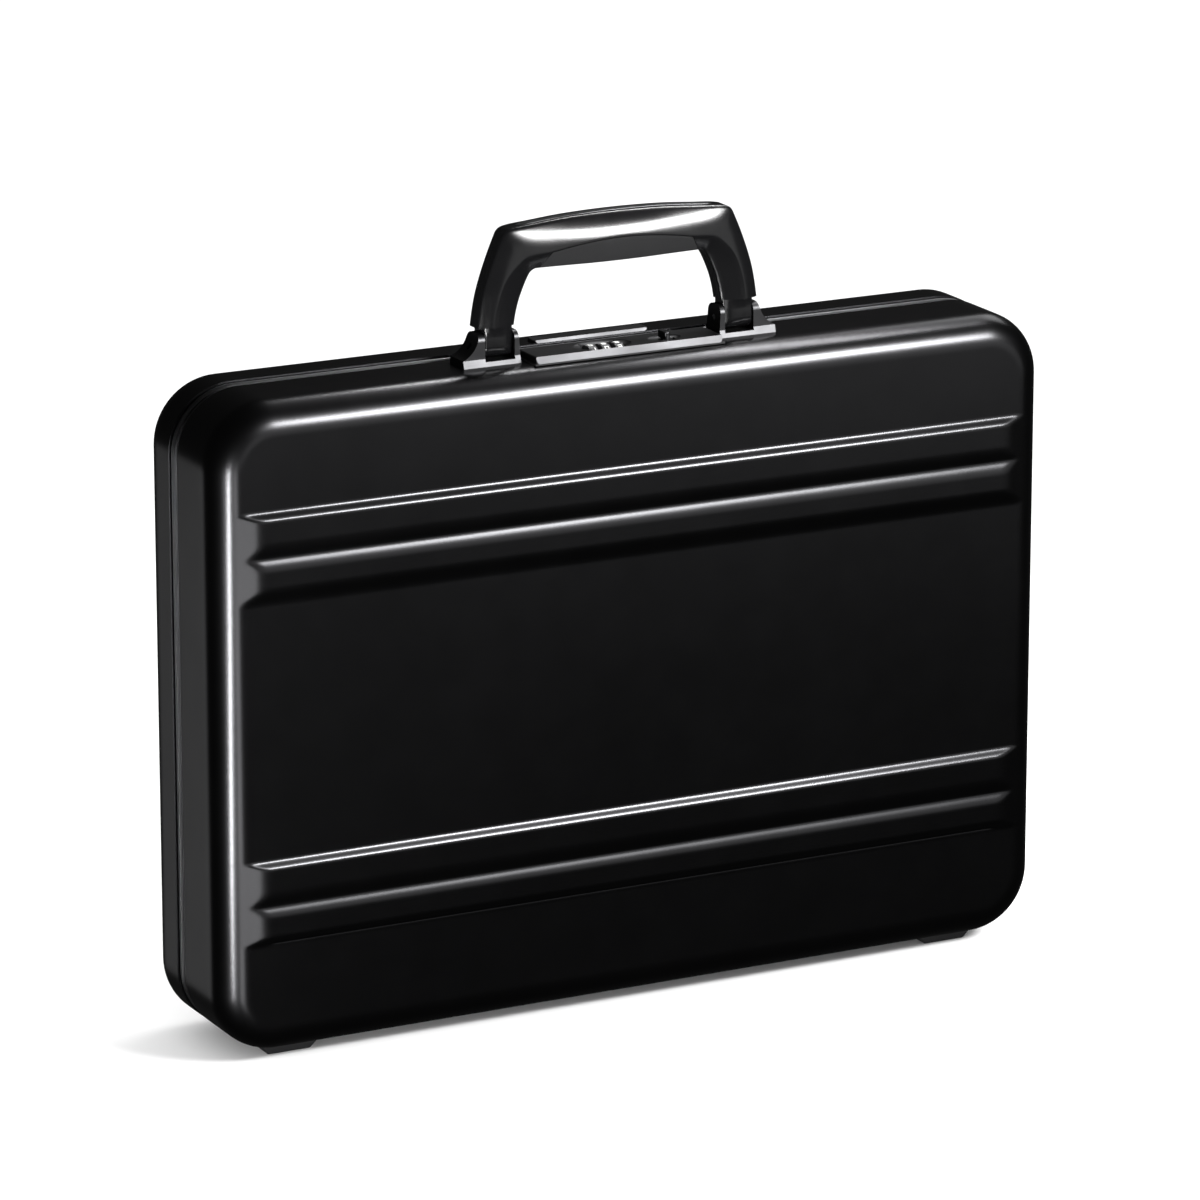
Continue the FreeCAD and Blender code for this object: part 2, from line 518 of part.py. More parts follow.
def link(x0, x1, p, q, rp, rq):
    u = V(0, q[0] - p[0], q[1] - p[1])
    L = u.Length
    u.normalize()
    n = V(0, -u.z, u.y)
    hw = 4.2
    a = [V(x0, p[0], p[1]) + n * hw, V(x0, q[0], q[1]) + n * hw, V(x0, q[0], q[1]) - n * hw, V(x0, p[0], p[1]) - n * hw]
    s = Part.Face(Part.makePolygon(a + [a[0]])).extrude(V(x1 - x0, 0, 0))
    s = fuse(s, cyl(hw, (x0, p[0], p[1]), (1, 0, 0), x1 - x0), cyl(hw, (x0, q[0], q[1]), (1, 0, 0), x1 - x0))
    s = s.cut(cyl(rp, (x0 - 1, p[0], p[1]), (1, 0, 0), x1 - x0 + 2)).cut(cyl(rq, (x0 - 1, q[0], q[1]), (1, 0, 0), x1 - x0 + 2))
    return s


def mir(s):
    return s.mirror(V(0, 0, 0), V(1, 0, 0))


low_r = link(SX_LOW[0], SX_LOW[1], (BY, PZ), (EY, EZ), 2.05, 2.0)
up_r = link(SX_UP[0], SX_UP[1], (LYP, PZ), (EY, EZ), 2.05, 2.4)
# elbow rivet sits tight in the lower link and loose in the upper one
elb_r = fuse(cyl(2.0, (210.9, EY, EZ), (1, 0, 0), 214.4 - 210.9), cyl(3.3, (210.3, EY, EZ), (1, 0, 0), 0.9),
             cyl(3.0, (214.4, EY, EZ), (1, 0, 0), 0.6))
xin = W / 2 - 6.2
sb_r = fuse(box(214.9, xin, BY - 7.0, BY + 7.0, PZ - 9, PZ + 9), cyl(2.0, (212.9, BY, PZ), (1, 0, 0), 3.0),
            cyl(3.2, (212.2, BY, PZ), (1, 0, 0), 0.7))
sl_r = fuse(box(214.9, xin, LYP - 7.5, LYP + 6.0, PZ - 9, PZ + 9), cyl(2.0, (211.2, LYP, PZ), (1, 0, 0), 4.5),
            cyl(3.2, (210.5, LYP, PZ), (1, 0, 0), 0.8))

# ---------------------------------------------------------------- soft interior
L0, LT = T + 0.1, 3.0
base_lining = tray(L0, YF + L0, -9.3, R_EDGE - L0).cut(tray(L0 + LT, YF + L0 + LT, -8.0, R_EDGE - L0 - LT))
base_lining = base_lining.cut(box(-88, 88, -30.0, -5, 300, 330)).cut(box(-150, 150, -12.0, -5, 0, 12))
base_lining = base_lining.cut(box(-200, -160, -20.5, -12.5, 0, 12)).cut(box(160, 200, -20.5, -12.5, 0, 12))
lid_lining = tray(L0, YR - L0, 21.9, R_EDGE - L0).cut(tray(L0 + LT, YR - L0 - LT, 20.0, R_EDGE - L0 - LT))
lid_lining = lid_lining.cut(box(-30, 30, 15, 26.0, 300, 330)).cut(box(-150, 150, 15, 24, 0, 12))
lid_lining = lid_lining.cut(box(-200, -160, 14, 23.5, 0, 12)).cut(box(160, 200, 14, 23.5, 0, 12))
# the backs of the linings stop short of the pressed ribs, whose hollows stay open behind them
pocket = box(-196.0, 196.0, 31.4, 35.7, 22.0, 226.0)
pen = solids(*[box(x - 7.0, x + 7.0, 27.6, 35.7, 244.0, 268.0).cut(cyl(3.4, (x, 31.6, 240), (0, 0, 1), 32)) for x in (70.0, 92.0)])

# ---------------------------------------------------------------- write
nodes = {
    "base_shell": base_shell, "base_frame": base_frame, "frame_gasket": gasket, "base_lining": base_lining,
    "handle_bracket_left": br_l, "handle_bracket_right": br_r, "handle_pins": handle_pins,
    "bracket_backing_plates": solids(*backs), "bracket_rivets": solids(*brivs),
    "lock_plate": plate, "lock_underplate": under, "lock_case": case, "lock_screws": solids(*lscr),
    "dial_shaft": shaft, "dial_detent_spring": det,
    "base_feet": base_feet, "base_foot_screws": solids(*bfs),
    "hinge_leaf_base": leaf_base, "hinge_pin": hinge_pin, "hinge_rivets_base": solids(*brv),
    "stay_brackets_base": solids(sb_r, mir(sb_r)),
    "lid_shell": lid_shell, "lid_frame": lid_frame, "lid_lining": lid_lining, "catch_plate": catch,
    "catch_rivets": solids(*crv), "catch_striker": sk, "lid_feet": lid_feet, "lid_foot_screws": solids(*lfs),
    "hinge_leaf_lid": leaf_lid, "hinge_rivets_lid": solids(*lrv), "stay_brackets_lid": solids(sl_r, mir(sl_r)),
    "document_pocket": pocket, "pen_loops": pen,
    "handle_body": h, "handle_grip_insert": insert, "handle_top_strip": strip,
    "handle_bushings": solids(*bush), "grip_screws": solids(*iscr),
    "dial_1": dials[0], "dial_2": dials[1], "dial_3": dials[2],
    "release_knob": knob, "latch_bar": bar, "release_spring": spring,
    "stay_lower_left": mir(low_r), "stay_lower_right": low_r,
    "stay_upper_left": mir(up_r), "stay_upper_right": up_r,
    "stay_rivet_left": mir(elb_r), "stay_rivet_right": elb_r,
}
tot = None
for name, s in nodes.items():
    n = len(s.Solids)
    if n == 1 and s.ShapeType != "Solid":
        s = s.Solids[0]
    if not s.isValid() or n == 0:
        print("PROBLEM", name, "valid", s.isValid(), "solids", n)
    if s.Volume <= 0:
        print("NEGATIVE", name)
    s.exportStep("parts/" + name + ".step")
    b = s.BoundBox
    tot = b if tot is None else tot.united(b)
    print("%-24s solids %2d vol %10.1f  x %7.2f %7.2f  y %7.2f %7.2f  z %7.2f %7.2f" % (name, n, s.Volume, b.XMin, b.XMax, b.YMin, b.YMax, b.ZMin, b.ZMax))
print("TOTAL x %.2f %.2f y %.2f %.2f z %.2f %.2f" % (tot.XMin, tot.XMax, tot.YMin, tot.YMax, tot.ZMin, tot.ZMax))
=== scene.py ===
import bpy
import bmesh
import json
import math
import numpy as np
from mathutils import Vector, Matrix


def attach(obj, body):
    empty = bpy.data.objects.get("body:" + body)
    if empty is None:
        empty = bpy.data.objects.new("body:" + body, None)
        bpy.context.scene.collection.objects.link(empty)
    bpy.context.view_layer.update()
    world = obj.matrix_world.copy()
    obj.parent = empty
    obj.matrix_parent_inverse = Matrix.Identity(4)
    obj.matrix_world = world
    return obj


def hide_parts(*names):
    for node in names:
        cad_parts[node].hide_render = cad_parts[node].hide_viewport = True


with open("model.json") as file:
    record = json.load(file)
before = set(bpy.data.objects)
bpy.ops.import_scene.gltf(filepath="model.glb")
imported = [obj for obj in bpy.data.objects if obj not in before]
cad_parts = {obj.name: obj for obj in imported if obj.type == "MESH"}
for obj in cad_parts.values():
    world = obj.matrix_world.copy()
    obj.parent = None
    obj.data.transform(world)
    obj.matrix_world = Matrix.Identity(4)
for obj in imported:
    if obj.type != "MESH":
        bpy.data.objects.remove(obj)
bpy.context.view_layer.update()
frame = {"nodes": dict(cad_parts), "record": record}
MM = 0.001
nodes = frame["nodes"]
scene = bpy.context.scene

# ------------------------------------------------------------------ materials
# Colours are linear. Every material has its own grain, tone and gloss variation in object space.


def new_mat(name):
    m = bpy.data.materials.new(name)
    m.use_nodes = True
    nt = m.node_tree
    nt.nodes.clear()
    out = nt.nodes.new("ShaderNodeOutputMaterial")
    b = nt.nodes.new("ShaderNodeBsdfPrincipled")
    nt.links.new(b.outputs["BSDF"], out.inputs["Surface"])
    return m, nt, b


def tex_coord(nt, scale=(1, 1, 1)):
    tc = nt.nodes.new("ShaderNodeTexCoord")
    mp = nt.nodes.new("ShaderNodeMapping")
    mp.inputs["Scale"].default_value = scale
    nt.links.new(tc.outputs["Object"], mp.inputs["Vector"])
    return mp.outputs["Vector"]


def noise(nt, vec, scale, detail=3.0, rough=0.55):
    n = nt.nodes.new("ShaderNodeTexNoise")
    n.inputs["Scale"].default_value = scale
    n.inputs["Detail"].default_value = detail
    n.inputs["Roughness"].default_value = rough
    nt.links.new(vec, n.inputs["Vector"])
    return n.outputs["Fac"]


def remap(nt, val, lo, hi, f0=0.3, f1=0.7):
    r = nt.nodes.new("ShaderNodeMapRange")
    r.inputs["From Min"].default_value = f0
    r.inputs["From Max"].default_value = f1
    r.inputs["To Min"].default_value = lo
    r.inputs["To Max"].default_value = hi
    nt.links.new(val, r.inputs["Value"])
    return r.outputs["Result"]


def mix_col(nt, fac, a, b):
    m = nt.nodes.new("ShaderNodeMix")
    m.data_type = "RGBA"
    m.inputs[6].default_value = (*a, 1)
    m.inputs[7].default_value = (*b, 1)
    nt.links.new(fac, m.inputs[0])
    return m.outputs[2]


def bump(nt, b, height, dist, strength=1.0, prev=None):
    n = nt.nodes.new("ShaderNodeBump")
    n.inputs["Distance"].default_value = dist
    n.inputs["Strength"].default_value = strength
    nt.links.new(height, n.inputs["Height"])
    if prev is not None:
        nt.links.new(prev, n.inputs["Normal"])
    nt.links.new(n.outputs["Normal"], b.inputs["Normal"])
    return n.outputs["Normal"]


def metal_mat(name, base, rough, tone=0.15, grain=900.0, grain_d=0.00002, rvar=0.05, metallic=1.0, stretch=(1, 1, 1), coat=0.0, spec=0.5):
    m, nt, b = new_mat(name)
    b.inputs["Metallic"].default_value = metallic
    b.inputs["Specular IOR Level"].default_value = spec
    if coat:
        b.inputs["Coat Weight"].default_value = coat
        b.inputs["Coat Roughness"].default_value = 0.12
    v = tex_coord(nt, stretch)
    big = noise(nt, v, 9.0, 2.0)
    fine = noise(nt, v, grain, 3.0, 0.6)
    lo = tuple(c * (1 - tone) for c in base)
    hi = tuple(c * (1 + tone) for c in base)
    nt.links.new(mix_col(nt, remap(nt, big, 0, 1), lo, hi), b.inputs["Base Color"])
    mid = noise(nt, v, 60.0, 3.0)
    nt.links.new(remap(nt, mid, rough - rvar, rough + rvar), b.inputs["Roughness"])
    bump(nt, b, fine, grain_d, 0.6)
    return m


M = {}
M["shell"] = metal_mat("anodised_shell", (0.050, 0.050, 0.052), 0.26, tone=0.06, grain=1500.0, grain_d=0.000003, rvar=0.008)
M["frame"] = metal_mat("anodised_frame", (0.17, 0.17, 0.175), 0.30, tone=0.08, grain=1200.0, grain_d=0.000015, rvar=0.03, stretch=(0.15, 1, 0.15))
M["black_metal"] = metal_mat("blasted_hardware", (0.055, 0.055, 0.057), 0.40, tone=0.10, grain=2200.0, grain_d=0.00002, rvar=0.04)
M["steel"] = metal_mat("bright_steel", (0.55, 0.55, 0.56), 0.26, tone=0.06, grain=700.0, grain_d=0.00001, rvar=0.06, stretch=(1, 0.1, 0.1))
M["hinge"] = metal_mat("hinge_steel", (0.10, 0.10, 0.105), 0.34, tone=0.1, grain=900.0, grain_d=0.00002, rvar=0.05)
M["hardware"] = metal_mat("zinc_hardware", (0.42, 0.42, 0.43), 0.33, tone=0.1, grain=900.0, grain_d=0.00002, rvar=0.06)
M["black_plastic"] = metal_mat("black_polymer", (0.014, 0.014, 0.015), 0.42, tone=0.15, grain=1300.0, grain_d=0.00002, rvar=0.05, metallic=0.0)
M["foot"] = metal_mat("foot_rubber", (0.010, 0.010, 0.0105), 0.62, tone=0.2, grain=1600.0, grain_d=0.00005, rvar=0.06, metallic=0.0, spec=0.35)
M["seal"] = metal_mat("gasket_rubber", (0.012, 0.012, 0.012), 0.6, tone=0.2, grain=1500.0, grain_d=0.00004, rvar=0.06, metallic=0.0, spec=0.35)
M["handle_skin"] = metal_mat("handle_skin", (0.0030, 0.0030, 0.0033), 0.20, tone=0.12, grain=1800.0, grain_d=0.00001, rvar=0.02, metallic=0.0, spec=0.6)
M["grip"] = metal_mat("grip_rubber", (0.012, 0.012, 0.0125), 0.5, tone=0.15, grain=1500.0, grain_d=0.00006, rvar=0.05, metallic=0.0, spec=0.4)
M["trim"] = metal_mat("trim_strip", (0.16, 0.16, 0.165), 0.30, tone=0.06, grain=1400.0, grain_d=0.00001, rvar=0.03)
M["bushing"] = metal_mat("bushing_nylon", (0.30, 0.29, 0.27), 0.45, tone=0.08, grain=900.0, grain_d=0.00001, metallic=0.0)
M["dial"] = metal_mat("dial_polymer", (0.045, 0.045, 0.047), 0.34, tone=0.12, grain=1500.0, grain_d=0.00001, rvar=0.04, metallic=0.6)
M["digit"] = metal_mat("digit_paint", (0.78, 0.78, 0.76), 0.5, tone=0.05, grain=2500.0, grain_d=0.00001, rvar=0.05, metallic=0.0)


def cloth_mat(name, base, scale=1100.0, depth=0.00012, tone=0.25):
    m, nt, b = new_mat(name)
    b.inputs["Metallic"].default_value = 0.0
    b.inputs["Specular IOR Level"].default_value = 0.25
    b.inputs["Sheen Weight"].default_value = 0.35
    b.inputs["Sheen Roughness"].default_value = 0.5
    v = tex_coord(nt)
    waves = []
    for axis, tw in (("X", 0.0), ("Z", 0.0)):
        w = nt.nodes.new("ShaderNodeTexWave")
        w.wave_type = "BANDS"
        w.bands_direction = axis
        w.inputs["Scale"].default_value = scale / 6.3
        w.inputs["Distortion"].default_value = 0.6
        w.inputs["Detail"].default_value = 1.0
        w.inputs["Detail Scale"].default_value = 0.4
        nt.links.new(v, w.inputs["Vector"])
        waves.append(w.outputs["Fac"])
    mx = nt.nodes.new("ShaderNodeMath")
    mx.operation = "MAXIMUM"
    nt.links.new(waves[0], mx.inputs[0])
    nt.links.new(waves[1], mx.inputs[1])
    big = noise(nt, v, 14.0, 3.0)
    lo = tuple(c * (1 - tone) for c in base)
    hi = tuple(min(1, c * (1 + tone)) for c in base)
    c1 = mix_col(nt, remap(nt, big, 0, 1), lo, hi)
    c2 = nt.nodes.new("ShaderNodeMix")
    c2.data_type = "RGBA"
    c2.blend_type = "MULTIPLY"
    c2.inputs[0].default_value = 0.45
    nt.links.new(c1, c2.inputs[6])
    cr = mix_col(nt, mx.outputs[0], (0.45, 0.45, 0.45), (1, 1, 1))
    nt.links.new(cr, c2.inputs[7])
    nt.links.new(c2.outputs[2], b.inputs["Base Color"])
    nt.links.new(remap(nt, noise(nt, v, 300.0), 0.72, 0.92), b.inputs["Roughness"])
    n1 = bump(nt, b, mx.outputs[0], depth, 0.7)
    bump(nt, b, noise(nt, v, 45.0, 3.0), 0.0006, 0.35, prev=n1)
    return m


def leather_mat(name, base):
    m, nt, b = new_mat(name)
    b.inputs["Specular IOR Level"].default_value = 0.4
    v = tex_coord(nt)
    vo = nt.nodes.new("ShaderNodeTexVoronoi")
    vo.feature = "DISTANCE_TO_EDGE"
    vo.inputs["Scale"].default_value = 650.0
    nt.links.new(v, vo.inputs["Vector"])
    crease = remap(nt, vo.outputs["Distance"], 0, 1, 0.0, 0.18)
    big = noise(nt, v, 12.0, 3.0)
    lo = tuple(c * 0.7 for c in base)
    hi = tuple(c * 1.3 for c in base)
    nt.links.new(mix_col(nt, remap(nt, big, 0, 1), lo, hi), b.inputs["Base Color"])
    nt.links.new(remap(nt, noise(nt, v, 150.0), 0.42, 0.62), b.inputs["Roughness"])
    n1 = bump(nt, b, crease, 0.00012, 0.6)
    bump(nt, b, noise(nt, v, 70.0, 3.0), 0.0005, 0.3, prev=n1)
    return m


M["lining"] = cloth_mat("lining_cloth", (0.055, 0.055, 0.060))
M["pocket"] = leather_mat("pocket_leather", (0.022, 0.021, 0.021))
M["elastic"] = cloth_mat("elastic_web", (0.030, 0.030, 0.033), scale=2200.0, depth=0.00008)
M["thread"] = cloth_mat("stitch_thread", (0.16, 0.16, 0.165), scale=3500.0, depth=0.00004)

SLOT = {r["node"]: r["material_slot"] for r in frame["record"].get("subparts", []) if "node" in r and "material_slot" in r}


def paint(obj, mat):
    obj.data.materials.clear()
    obj.data.materials.append(mat)
    return obj


for n, o in nodes.items():
    paint(o, M.get(SLOT.get(n, "hardware"), M["hardware"]))


# ------------------------------------------------------------------ mesh helpers
def mesh_obj(name, verts, faces, mat, smooth=True):
    me = bpy.data.meshes.new(name)
    me.from_pydata((np.asarray(verts, float) * MM).tolist(), [], faces)
    me.update()
    me.polygons.foreach_set("use_smooth", [smooth] * len(me.polygons))
    o = bpy.data.objects.new(name, me)
    scene.collection.objects.link(o)
    me.materials.append(mat)
    return o


def merge(o, d=1e-6):
    bm = bmesh.new()
    bm.from_mesh(o.data)
    bmesh.ops.remove_doubles(bm, verts=bm.verts, dist=d)
    bmesh.ops.recalc_face_normals(bm, faces=bm.faces)
    bm.to_mesh(o.data)
    bm.free()
    return o


def apply_mods(o):
    bpy.context.view_layer.update()
    dg = bpy.context.evaluated_depsgraph_get()
    me = bpy.data.meshes.new_from_object(o.evaluated_get(dg))
    old = o.data
    o.modifiers.clear()
    o.data = me
    bpy.data.meshes.remove(old)
    return o


def sharp(o, deg):
    # edges sharper than deg keep a crisp normal
    bm = bmesh.new()
    bm.from_mesh(o.data)
    lim = math.radians(deg)
    for e in bm.edges:
        e.smooth = not (len(e.link_faces) == 2 and e.calc_face_angle(0.0) > lim)
    for f in bm.faces:
        f.smooth = True
    bm.to_mesh(o.data)
    bm.free()
    return o


def smin(a, b, k):
    h = np.clip(0.5 + 0.5 * (b - a) / k, 0, 1)
    return b * (1 - h) + a * h - k * h * (1 - h)


def smax(a, b, k):
    return -smin(-a, -b, k)


# ------------------------------------------------------------------ case dimensions (mm)
W, H, ZB = 445.0, 317.5, 5.5
ZT = ZB + H
RC, RE = 32.0, 15.0
YF, YR = -40.5, 40.5
RIB = 2.6
XC = W / 2 - RC
ZC0, ZC1 = ZB + RC, ZT - RC


def rib_height(x, z):
    ax = np.abs(x)
    g = np.full_like(z, -9.0)
    # (top, foot, rise on the way down to the first rib, strength of the second slope)
    for top, foot, sl in ((272.0, 228.4, 0.35), (102.7, 61.2, 0.41)):
        a = smin(RIB + 0 * z, (top - z) * 0.80, 0.8)
        a = smin(a, (z - (top - 25.1)) * 0.30, 0.8)
        b = smin(RIB + 0 * z, RIB - (z - (top - 26.3)) * sl, 0.8)
        m = RIB / ((top - 37.2) - foot)
        b = smin(b, (z - foot) * m, 0.8)
        g = np.maximum(g, smax(a, b, 0.7))
    end = RIB - (ax - 200.1) * 0.274
    return smin(g, end, 1.0)


def ring_xz(n, xs, zs, k):
    """closed loop of the outline moved inwards by n; corners are arcs about fixed centres"""
    r = RC - n
    a = np.linspace(-90, 0, k + 1)[1:-1]
    P = []
    P += [(x, ZB + n) for x in xs]
    P += [(XC + r * math.cos(math.radians(t)), ZC0 + r * math.sin(math.radians(t))) for t in a]
    P += [(XC + r, z) for z in zs]
    P += [(XC + r * math.cos(math.radians(t + 90)), ZC1 + r * math.sin(math.radians(t + 90))) for t in a]
    P += [(x, ZT - n) for x in xs[::-1]]
    P += [(-XC + r * math.cos(math.radians(t + 180)), ZC1 + r * math.sin(math.radians(t + 180))) for t in a]
    P += [(-XC - r, z) for z in zs[::-1]]
    P += [(-XC + r * math.cos(math.radians(t + 270)), ZC0 + r * math.sin(math.radians(t + 270))) for t in a]
    return np.array(P)


def spaced(a, b, step, extra=()):
    n = max(1, int(round((b - a) / step)))
    v = list(np.linspace(a, b, n + 1))
    v = [t for t in v if all(abs(t - e) > 0.35 * step for e in extra) or t in (a, b)] + list(extra)
    return np.array(sorted(v))


def tray(y_face, y_rim, off, xs, zs, corner, wall_rows, arc_rows, face_rows, disp=None, holes=None):
    """open tray: wall, rounded edge and face; returns vertices and faces"""
    s = -1.0 if y_face < y_rim else 1.0
    yf = y_face - s * off
    r = RE - off
    rows = [(off, y) for y in wall_rows]
    rows += [(off + r * (1 - math.cos(a)), yf - s * r * (1 - math.sin(a))) for a in arc_rows]
    rows += [(n, yf) for n in face_rows]
    V, F = [], []
    m = None
    for n, y in rows:
        P = ring_xz(n, xs, zs, corner)
        m = len(P)
        V.append(np.column_stack([P[:, 0], np.full(m, y), P[:, 1]]))
    V = np.concatenate(V)
    rc = len(rows)
    for i in range(rc - 1):
        for j in range(m):
            j2 = (j + 1) % m
            F.append((i * m + j, i * m + j2, (i + 1) * m + j2, (i + 1) * m + j))
    # flat middle
    base = len(V)
    nx, nz = len(xs), len(zs)
    gx, gz = np.meshgrid(xs, zs)
    V = np.concatenate([V, np.column_stack([gx.ravel(), np.full(gx.size, yf), gz.ravel()])])
    for i in range(nz - 1):
        for j in range(nx - 1):
            a = base + i * nx + j
            F.append((a, a + 1, a + nx + 1, a + nx))
    if disp is not None:
        V = disp(V, s, yf)
    if holes:
        C = [V[list(f)].mean(0) for f in F]
        F = [f for f, c in zip(F, C) if not any(h(c) for h in holes)]
    if s > 0:
        F = [f[::-1] for f in F]
    return V, F


def press_ribs(V, s, yf):
    d0 = (V[:, 1] - yf) * s
    ax = np.abs(V[:, 0])
    hr = rib_height(V[:, 0], V[:, 2])
    near = (d0 > -3.0) & (ax < 211.4)
    k = 0.7 * np.clip((210.9 - ax) / 4.0, 0.02, 1.0)
    h = np.clip(0.5 + 0.5 * (hr - d0) / k, 0, 1)
    d = np.where(near, d0 * (1 - h) + hr * h + k * h * (1 - h), d0)
    # fine coined line along the foot of the lower rib pair
    zz = V[:, 2] - 62.0
    line = np.exp(-(zz / 0.6) ** 2) * 0.45 * np.clip((203.0 - ax) / 8.0, 0, 1)
    d = np.where(near, d - line, d)
    V = V.copy()
    V[:, 1] = yf + s * d
    return V


def face_n(v):
    return list(np.unique(np.concatenate([[RE], np.arange(16, RC - 0.2, 1.0), [RC]])))


XS_MAIN = spaced(-XC, XC, 4.0)
zs = set(np.round(np.concatenate([np.arange(ZC0, 57, 5), np.arange(57.6, 106.2, 0.6), np.arange(107, 226, 6.5), np.arange(226, 275.5, 0.6), np.arange(276, ZC1, 5), [ZC1]]), 3))
ZS_MAIN = np.array(sorted(zs))
ARC = [math.radians(a) for a in np.arange(4.5, 90.1, 4.5)]


def in_box(x0, x1, y0, y1, z0):
    return lambda c: x0 < c[0] < x1 and y0 < c[1] < y1 and c[2] > z0


def build_shell(name, node, y_face, y_rim, body, extra_x=(), extra_y=(), holes=None, post=None):
    s = -1.0 if y_face < y_rim else 1.0
    xs = spaced(-XC, XC, 4.0, extra_x)
    ystart = y_face - s * RE
    wall = spaced(min(y_rim, ystart), max(y_rim, ystart), 2.4, [y for y in extra_y if min(y_rim, ystart) < y < max(y_rim, ystart)])
    if s < 0:
        wall = wall[::-1]
    V, F = tray(y_face, y_rim, 0.0, xs, ZS_MAIN, 18, list(wall), ARC, face_n(0)[1:], disp=press_ribs, holes=holes)
    if post is not None:
        V = post(V)
    o = mesh_obj(name, V, F, M["shell"])
    merge(o, 2e-6)
    sol = o.modifiers.new("sheet", "SOLIDIFY")
    sol.thickness = 1.5 * MM
    sol.offset = -1.0
    sol.use_even_offset = False
    sol.use_rim = True
    apply_mods(o)
    sharp(o, 40)
    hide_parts(node)
    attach(o, body)
    return o


holes_b = [in_box(-21.8, 1.4, -27.6, -11.6, ZT - 3), in_box(20.3, 29.2, -21.8, -17.4, ZT - 3)]
build_shell("case_shell_base", "base_shell", YF, 1.2, "base",
            extra_x=(-21.8, 1.4, 20.3, 29.2), extra_y=(-11.6, -17.4, -21.8), holes=holes_b)
build_shell("case_shell_lid", "lid_shell", YR, 11.4, "lid")


# ------------------------------------------------------------------ rounded rolls along the two frames
def bead(name, yc, n_out, rad, body):
    """thin round roll that follows the outline, standing on the frame's outer face"""
    k = 8
    rings = []
    for q in range(k):
        a = 2 * math.pi * q / k
        n = n_out + rad - rad * math.cos(a)
        rings.append((n, yc + rad * math.sin(a)))
    xs = spaced(-XC, XC, 12.0)
    zz = spaced(ZC0, ZC1, 12.0)
    V = []
    m = None
    for n, y in rings:
        P = ring_xz(n, xs, zz, 18)
        m = len(P)
        V += [(x, y, z) for x, z in P]
    F = []
    for i in range(k):
        i2 = (i + 1) % k
        for j in range(m):
            j2 = (j + 1) % m
            F.append((i * m + j, i * m + j2, i2 * m + j2, i2 * m + j))
    o = mesh_obj(name, V, F, M["frame"])
    bm_ = bmesh.new()
    bm_.from_mesh(o.data)
    bmesh.ops.recalc_face_normals(bm_, faces=bm_.faces)
    bm_.to_mesh(o.data)
    bm_.free()
    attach(o, body)
    return o


bead("frame_roll_base", 3.05, 0.45, 0.55, "base")
bead("frame_roll_lid", 8.6, 0.7, 0.60, "lid")

# ------------------------------------------------------------------ handle
HY = -11.5
# stations from the right leg up and over to the middle: inner edge, crease, outer edge, half depth at inner edge, crease and outer edge
HSTA = [((55.4, 341.0), (66.9, 341.0), (75.0, 341.0), 4.4, 7.3, 4.2),
        ((54.4, 346.6), (66.1, 347.2), (74.0, 348.0), 4.4, 7.4, 4.2),
        ((52.7, 352.8), (64.4, 354.4), (72.4, 356.0), 4.4, 7.6, 4.2),
        ((50.3, 358.8), (61.8, 361.4), (69.9, 364.2), 4.4, 7.8, 4.3),
        ((48.5, 362.6), (58.4, 366.4), (66.6, 373.0), 4.4, 8.0, 4.5),
        ((47.2, 364.9), (54.2, 370.4), (62.9, 381.4), 4.4, 8.2, 4.8),
        ((46.2, 365.9), (50.9, 372.5), (60.2, 386.0), 4.4, 8.4, 5.1),
        ((45.0, 366.6), (46.1, 374.0), (55.4, 387.7), 4.5, 8.9, 5.2),
        ((43.0, 366.95), (37.4, 375.1), (43.6, 388.75), 4.6, 9.6, 5.2),
        ((28.0, 366.7), (26.0, 377.1), (29.0, 389.95), 4.7, 10.2, 5.2),
        ((14.0, 366.4), (13.2, 378.6), (14.6, 390.55), 4.8, 10.7, 5.2),
        ((0.0, 366.3), (0.0, 379.2), (0.0, 390.75), 4.8, 10.8, 5.2)]
K_GRIP = 8                # station where the soft insert ends
H = np.array([[*a, *b, *c, d, e, f] for a, b, c, d, e, f in HSTA])
flip = np.array([-1, 1, -1, 1, -1, 1, 1, 1, 1], float)
HFULL = np.concatenate([H, (H * flip)[-2::-1]])
NST = len(HFULL) - 1


def station(u):
    i = min(int(u), NST - 1)
    t = u - i
    p0, p1 = HFULL[max(i - 1, 0)], HFULL[i]
    p2, p3 = HFULL[i + 1], HFULL[min(i + 2, NST)]
    c = 0.5 * ((2 * p1) + (p2 - p0) * t + (2 * p0 - 5 * p1 + 4 * p2 - p3) * t * t + (3 * p1 - p0 - 3 * p2 + p3) * t ** 3)
    return c


LOW = [(0.0, -0.9), (0.012, -0.42), (0.045, -0.1), (0.1, 0.0), (0.25, 0.0), (0.45, 0.0), (0.65, 0.0), (0.82, 0.0), (0.92, 0.0)]
UPP = [(0.0, -0.16), (0.04, -0.02), (0.1, 0), (0.2, 0), (0.3, 0), (0.4, 0), (0.5, 0), (0.6, 0), (0.7, 0), (0.8, 0), (0.88, 0), (0.93, -0.03), (0.965, -0.16), (0.99, -0.45), (1.0, -0.85)]


def low_pts(c, inset=0.0, hi=1.0):
    out = []
    I, C, wi, wc = c[0:2], c[2:4], c[6], c[7]
    for a, dw in LOW:
        a = a * hi
        w = wi + (wc - wi) * (a + 0.22 * a * (1 - a)) + dw - inset
        p = I + (C - I) * a
        out.append((p[0], p[1], w))
    return out


def upp_pts(c):
    out = []
    C, O, wc, wo = c[2:4], c[4:6], c[7], c[8]
    for b, dw in UPP:
        f = 0.44 * b + 0.56 * b ** 2.3
        w = wc - (wc - wo) * f + dw
        p = C + (O - C) * b
        out.append((p[0], p[1], w))
    return out


